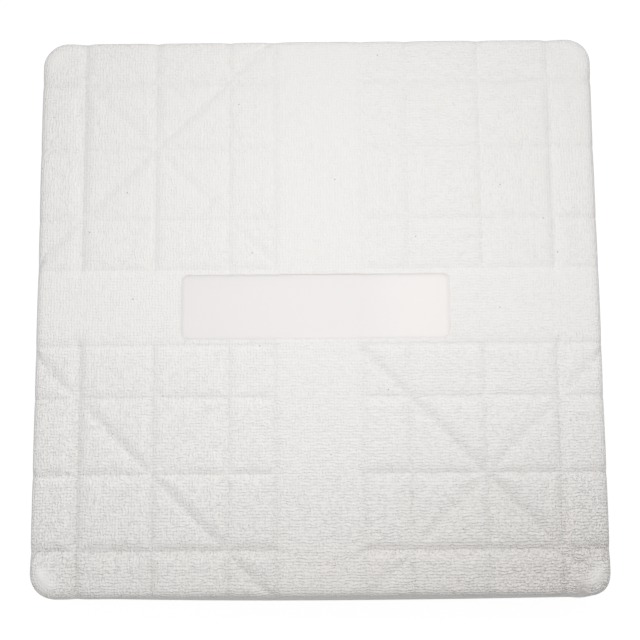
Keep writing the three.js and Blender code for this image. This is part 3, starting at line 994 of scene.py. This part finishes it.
def bolt(bm, place, low, high):
    seat = low + BOLT_HEAD_HEIGHT
    profile = dome(BOLT_CROWN, BOLT_HEAD, low, BOLT_DOME)
    profile += [(BOLT_HEAD, seat - BOLT_CHAMFER), (BOLT_HEAD - BOLT_CHAMFER, seat), (BOLT_SHANK, seat)]
    profile += thread(BOLT_SHANK, BOLT_THREAD, BOLT_PITCH, seat + BOLT_PLAIN, high - BOLT_END)
    profile += [(BOLT_SHANK - BOLT_TIP, high), (0, high)]
    turn_profile(bm, place, profile)
    cut_recess(bm, place, low, hexagon, BOLT_KEY_DEPTH)


def screw(bm, place, low, high):
    seat = low + SCREW_HEAD_HEIGHT
    profile = dome(SCREW_CROWN, SCREW_HEAD, low, SCREW_DOME)
    profile += [(SCREW_HEAD, seat - SCREW_CHAMFER), (SCREW_HEAD - SCREW_CHAMFER, seat), (SCREW_SHANK, seat)]
    profile += thread(SCREW_SHANK, SCREW_THREAD, SCREW_PITCH, seat + SCREW_PLAIN, high - SCREW_TIP)
    profile += [(0, high)]
    turn_profile(bm, place, profile)
    cut_recess(bm, place, low, cross, CROSS_DEPTH)


def washer(bm, place, low, high):
    soft = 0.25 * MM
    turn_profile(bm, place, [
        (WASHER_BORE, low + soft), (WASHER_BORE + soft, low), (WASHER_RIM - soft, low),
        (WASHER_RIM, low + soft), (WASHER_RIM, high - soft), (WASHER_RIM - soft, high),
        (WASHER_BORE + soft, high), (WASHER_BORE, high - soft), (WASHER_BORE, low + soft),
    ])


def tee_nut(bm, place, low, high):
    soft = 0.3 * MM
    seat = high - TEE_PLATE
    turn_profile(bm, place, [
        (TEE_BORE + soft, low), (TEE_BARREL - soft, low), (TEE_BARREL, low + soft), (TEE_BARREL, seat - soft),
        (TEE_BARREL + soft, seat), (TEE_RADIUS - soft, seat), (TEE_RADIUS, seat + soft),
        (TEE_RADIUS, high - soft), (TEE_RADIUS - soft, high), (TEE_BORE + soft, high),
        (TEE_BORE, high - soft), (TEE_BORE, low + soft), (TEE_BORE + soft, low),
    ])


def make_fasteners():
    """Stands a finely turned fastener in the place of each one in the frame."""
    zinc = zinc_plate()
    kinds = (
        ("flange_bolt", 4, "{}", bolt),
        ("flange_washer", 4, "{}", washer),
        ("tee_nut", 4, "{}", tee_nut),
        ("sole_screw", 12, "{:02d}", screw),
    )
    for name, count, digits, build in kinds:
        for i in range(1, count + 1):
            cad_node = f"{name}_" + digits.format(i)
            low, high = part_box(cad_node)
            bm = bmesh.new()
            build(bm, ((low + high) / 2).xy, low.z, high.z)
            bmesh.ops.recalc_face_normals(bm, faces=bm.faces)
            for f in bm.faces:
                f.smooth = True
            piece = new_piece(f"turned_{cad_node}", bm, zinc)
            piece.data.set_sharp_from_angle(angle=TURNED_SHARP)
            dress(piece, cad_node)


# Nodes of the frame that show as they are

def finish_nodes():
    """Gives the board and the socket their materials, and takes the hard edges off them."""
    steel = galvanised_steel()
    finishes = {"base_board": birch_plywood()}
    for name in ("socket_flange", "socket_tube", "socket_cap"):
        finishes[name] = steel
    for name, material in finishes.items():
        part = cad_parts[name]
        part.material_slots[0].material = material
        weld = part.modifiers.new("weld", "WELD")
        weld.merge_threshold = MERGE
        soft = part.modifiers.new("soft_edges", "BEVEL")
        soft.width = EDGE_SOFT
        soft.segments = 2
        soft.limit_method = "ANGLE"
        soft.angle_limit = EDGE_SHARP


# Stage

def seen(m):
    """1 for what the camera sees straight, mirrored or through glass, and 0 for the rest."""
    path = node(m, "LightPath").outputs
    mirrored = node(m, "Math", {0: path["Is Camera Ray"], 1: path["Is Glossy Ray"]}, operation="ADD")
    return node(m, "Math", {0: mirrored, 1: path["Is Transmission Ray"]}, operation="ADD")


def make_floor():
    """A floor that the camera sees as white, with the base's shadow, and that bounces light as pale grey."""
    m = new_material("studio_floor")
    plain = node(m, "BsdfDiffuse", {"Color": linear("#A8A8A8")})
    shadowed = node(m, "BsdfDiffuse", {"Color": linear("#7A7A7A")})
    glow = node(m, "Emission", {"Color": linear("#FFFFFF"), "Strength": 0.9})
    white = node(m, "AddShader", {0: shadowed, 1: glow})
    shader = node(m, "MixShader", {0: seen(m), 1: plain, 2: white})
    node(m, "OutputMaterial", {"Surface": shader})
    bm = bmesh.new()
    bmesh.ops.create_grid(bm, x_segments=1, y_segments=1, size=4)
    floor = new_piece("floor", bm, m)


def make_world():
    """White all round for what looks at it. For the rest a soft fill, brighter low down and behind."""
    world = bpy.data.worlds.new("studio")
    bpy.context.scene.world = world
    world.use_nodes = True
    world.node_tree.nodes.clear()
    outwards = node(world, "TexCoord").outputs["Generated"]
    height = node(world, "SeparateXYZ", {0: outwards}).outputs["Z"]
    level = node(world, "MapRange", {0: height, 1: 0, 2: 1, 3: FILL_LOW, 4: FILL_HIGH})
    lean = node(world, "VectorMath", {0: outwards, 1: FILL_LEAN}, operation="DOT_PRODUCT").outputs["Value"]
    leaned = node(world, "Math", {0: lean, 1: 1.0}, operation="ADD")
    strength = node(world, "Math", {0: level, 1: leaned}, operation="MULTIPLY")
    fill = node(world, "Background", {"Color": linear("#FFFFFF"), "Strength": strength})
    white = node(world, "Background", {"Color": linear("#FFFFFF"), "Strength": 1.0})
    shader = node(world, "MixShader", {0: seen(world), 1: fill, 2: white})
    node(world, "OutputWorld", {"Surface": shader})


def make_lamp(name, place, size, power):
    """A square soft box that points straight down."""
    lamp = bpy.data.lights.new(name, "AREA")
    lamp.size = size
    lamp.energy = power
    holder = bpy.data.objects.new(name, lamp)
    holder.location = place
    holder.visible_camera = False
    bpy.context.collection.objects.link(holder)


def make_camera():
    """Nearly overhead, a little towards the front."""
    data = bpy.data.cameras.new("camera")
    data.lens = CAMERA_LENS
    data.sensor_width = CAMERA_SENSOR
    camera = bpy.data.objects.new("camera", data)
    turn = Matrix.Rotation(CAMERA_YAW, 4, "Z") @ Matrix.Rotation(CAMERA_TILT, 4, "X")
    camera.matrix_world = Matrix.Translation(CAMERA_PLACE) @ turn @ Matrix.Rotation(CAMERA_ROLL, 4, "Z")
    bpy.context.collection.objects.link(camera)
    bpy.context.scene.camera = camera


make_cover()
make_foam()
make_sole()
make_fasteners()
finish_nodes()
make_floor()
make_world()
make_lamp("key", *KEY_LAMP)
make_lamp("soft", *SOFT_LAMP)
make_camera()
bpy.context.scene.view_settings.view_transform = "Standard"
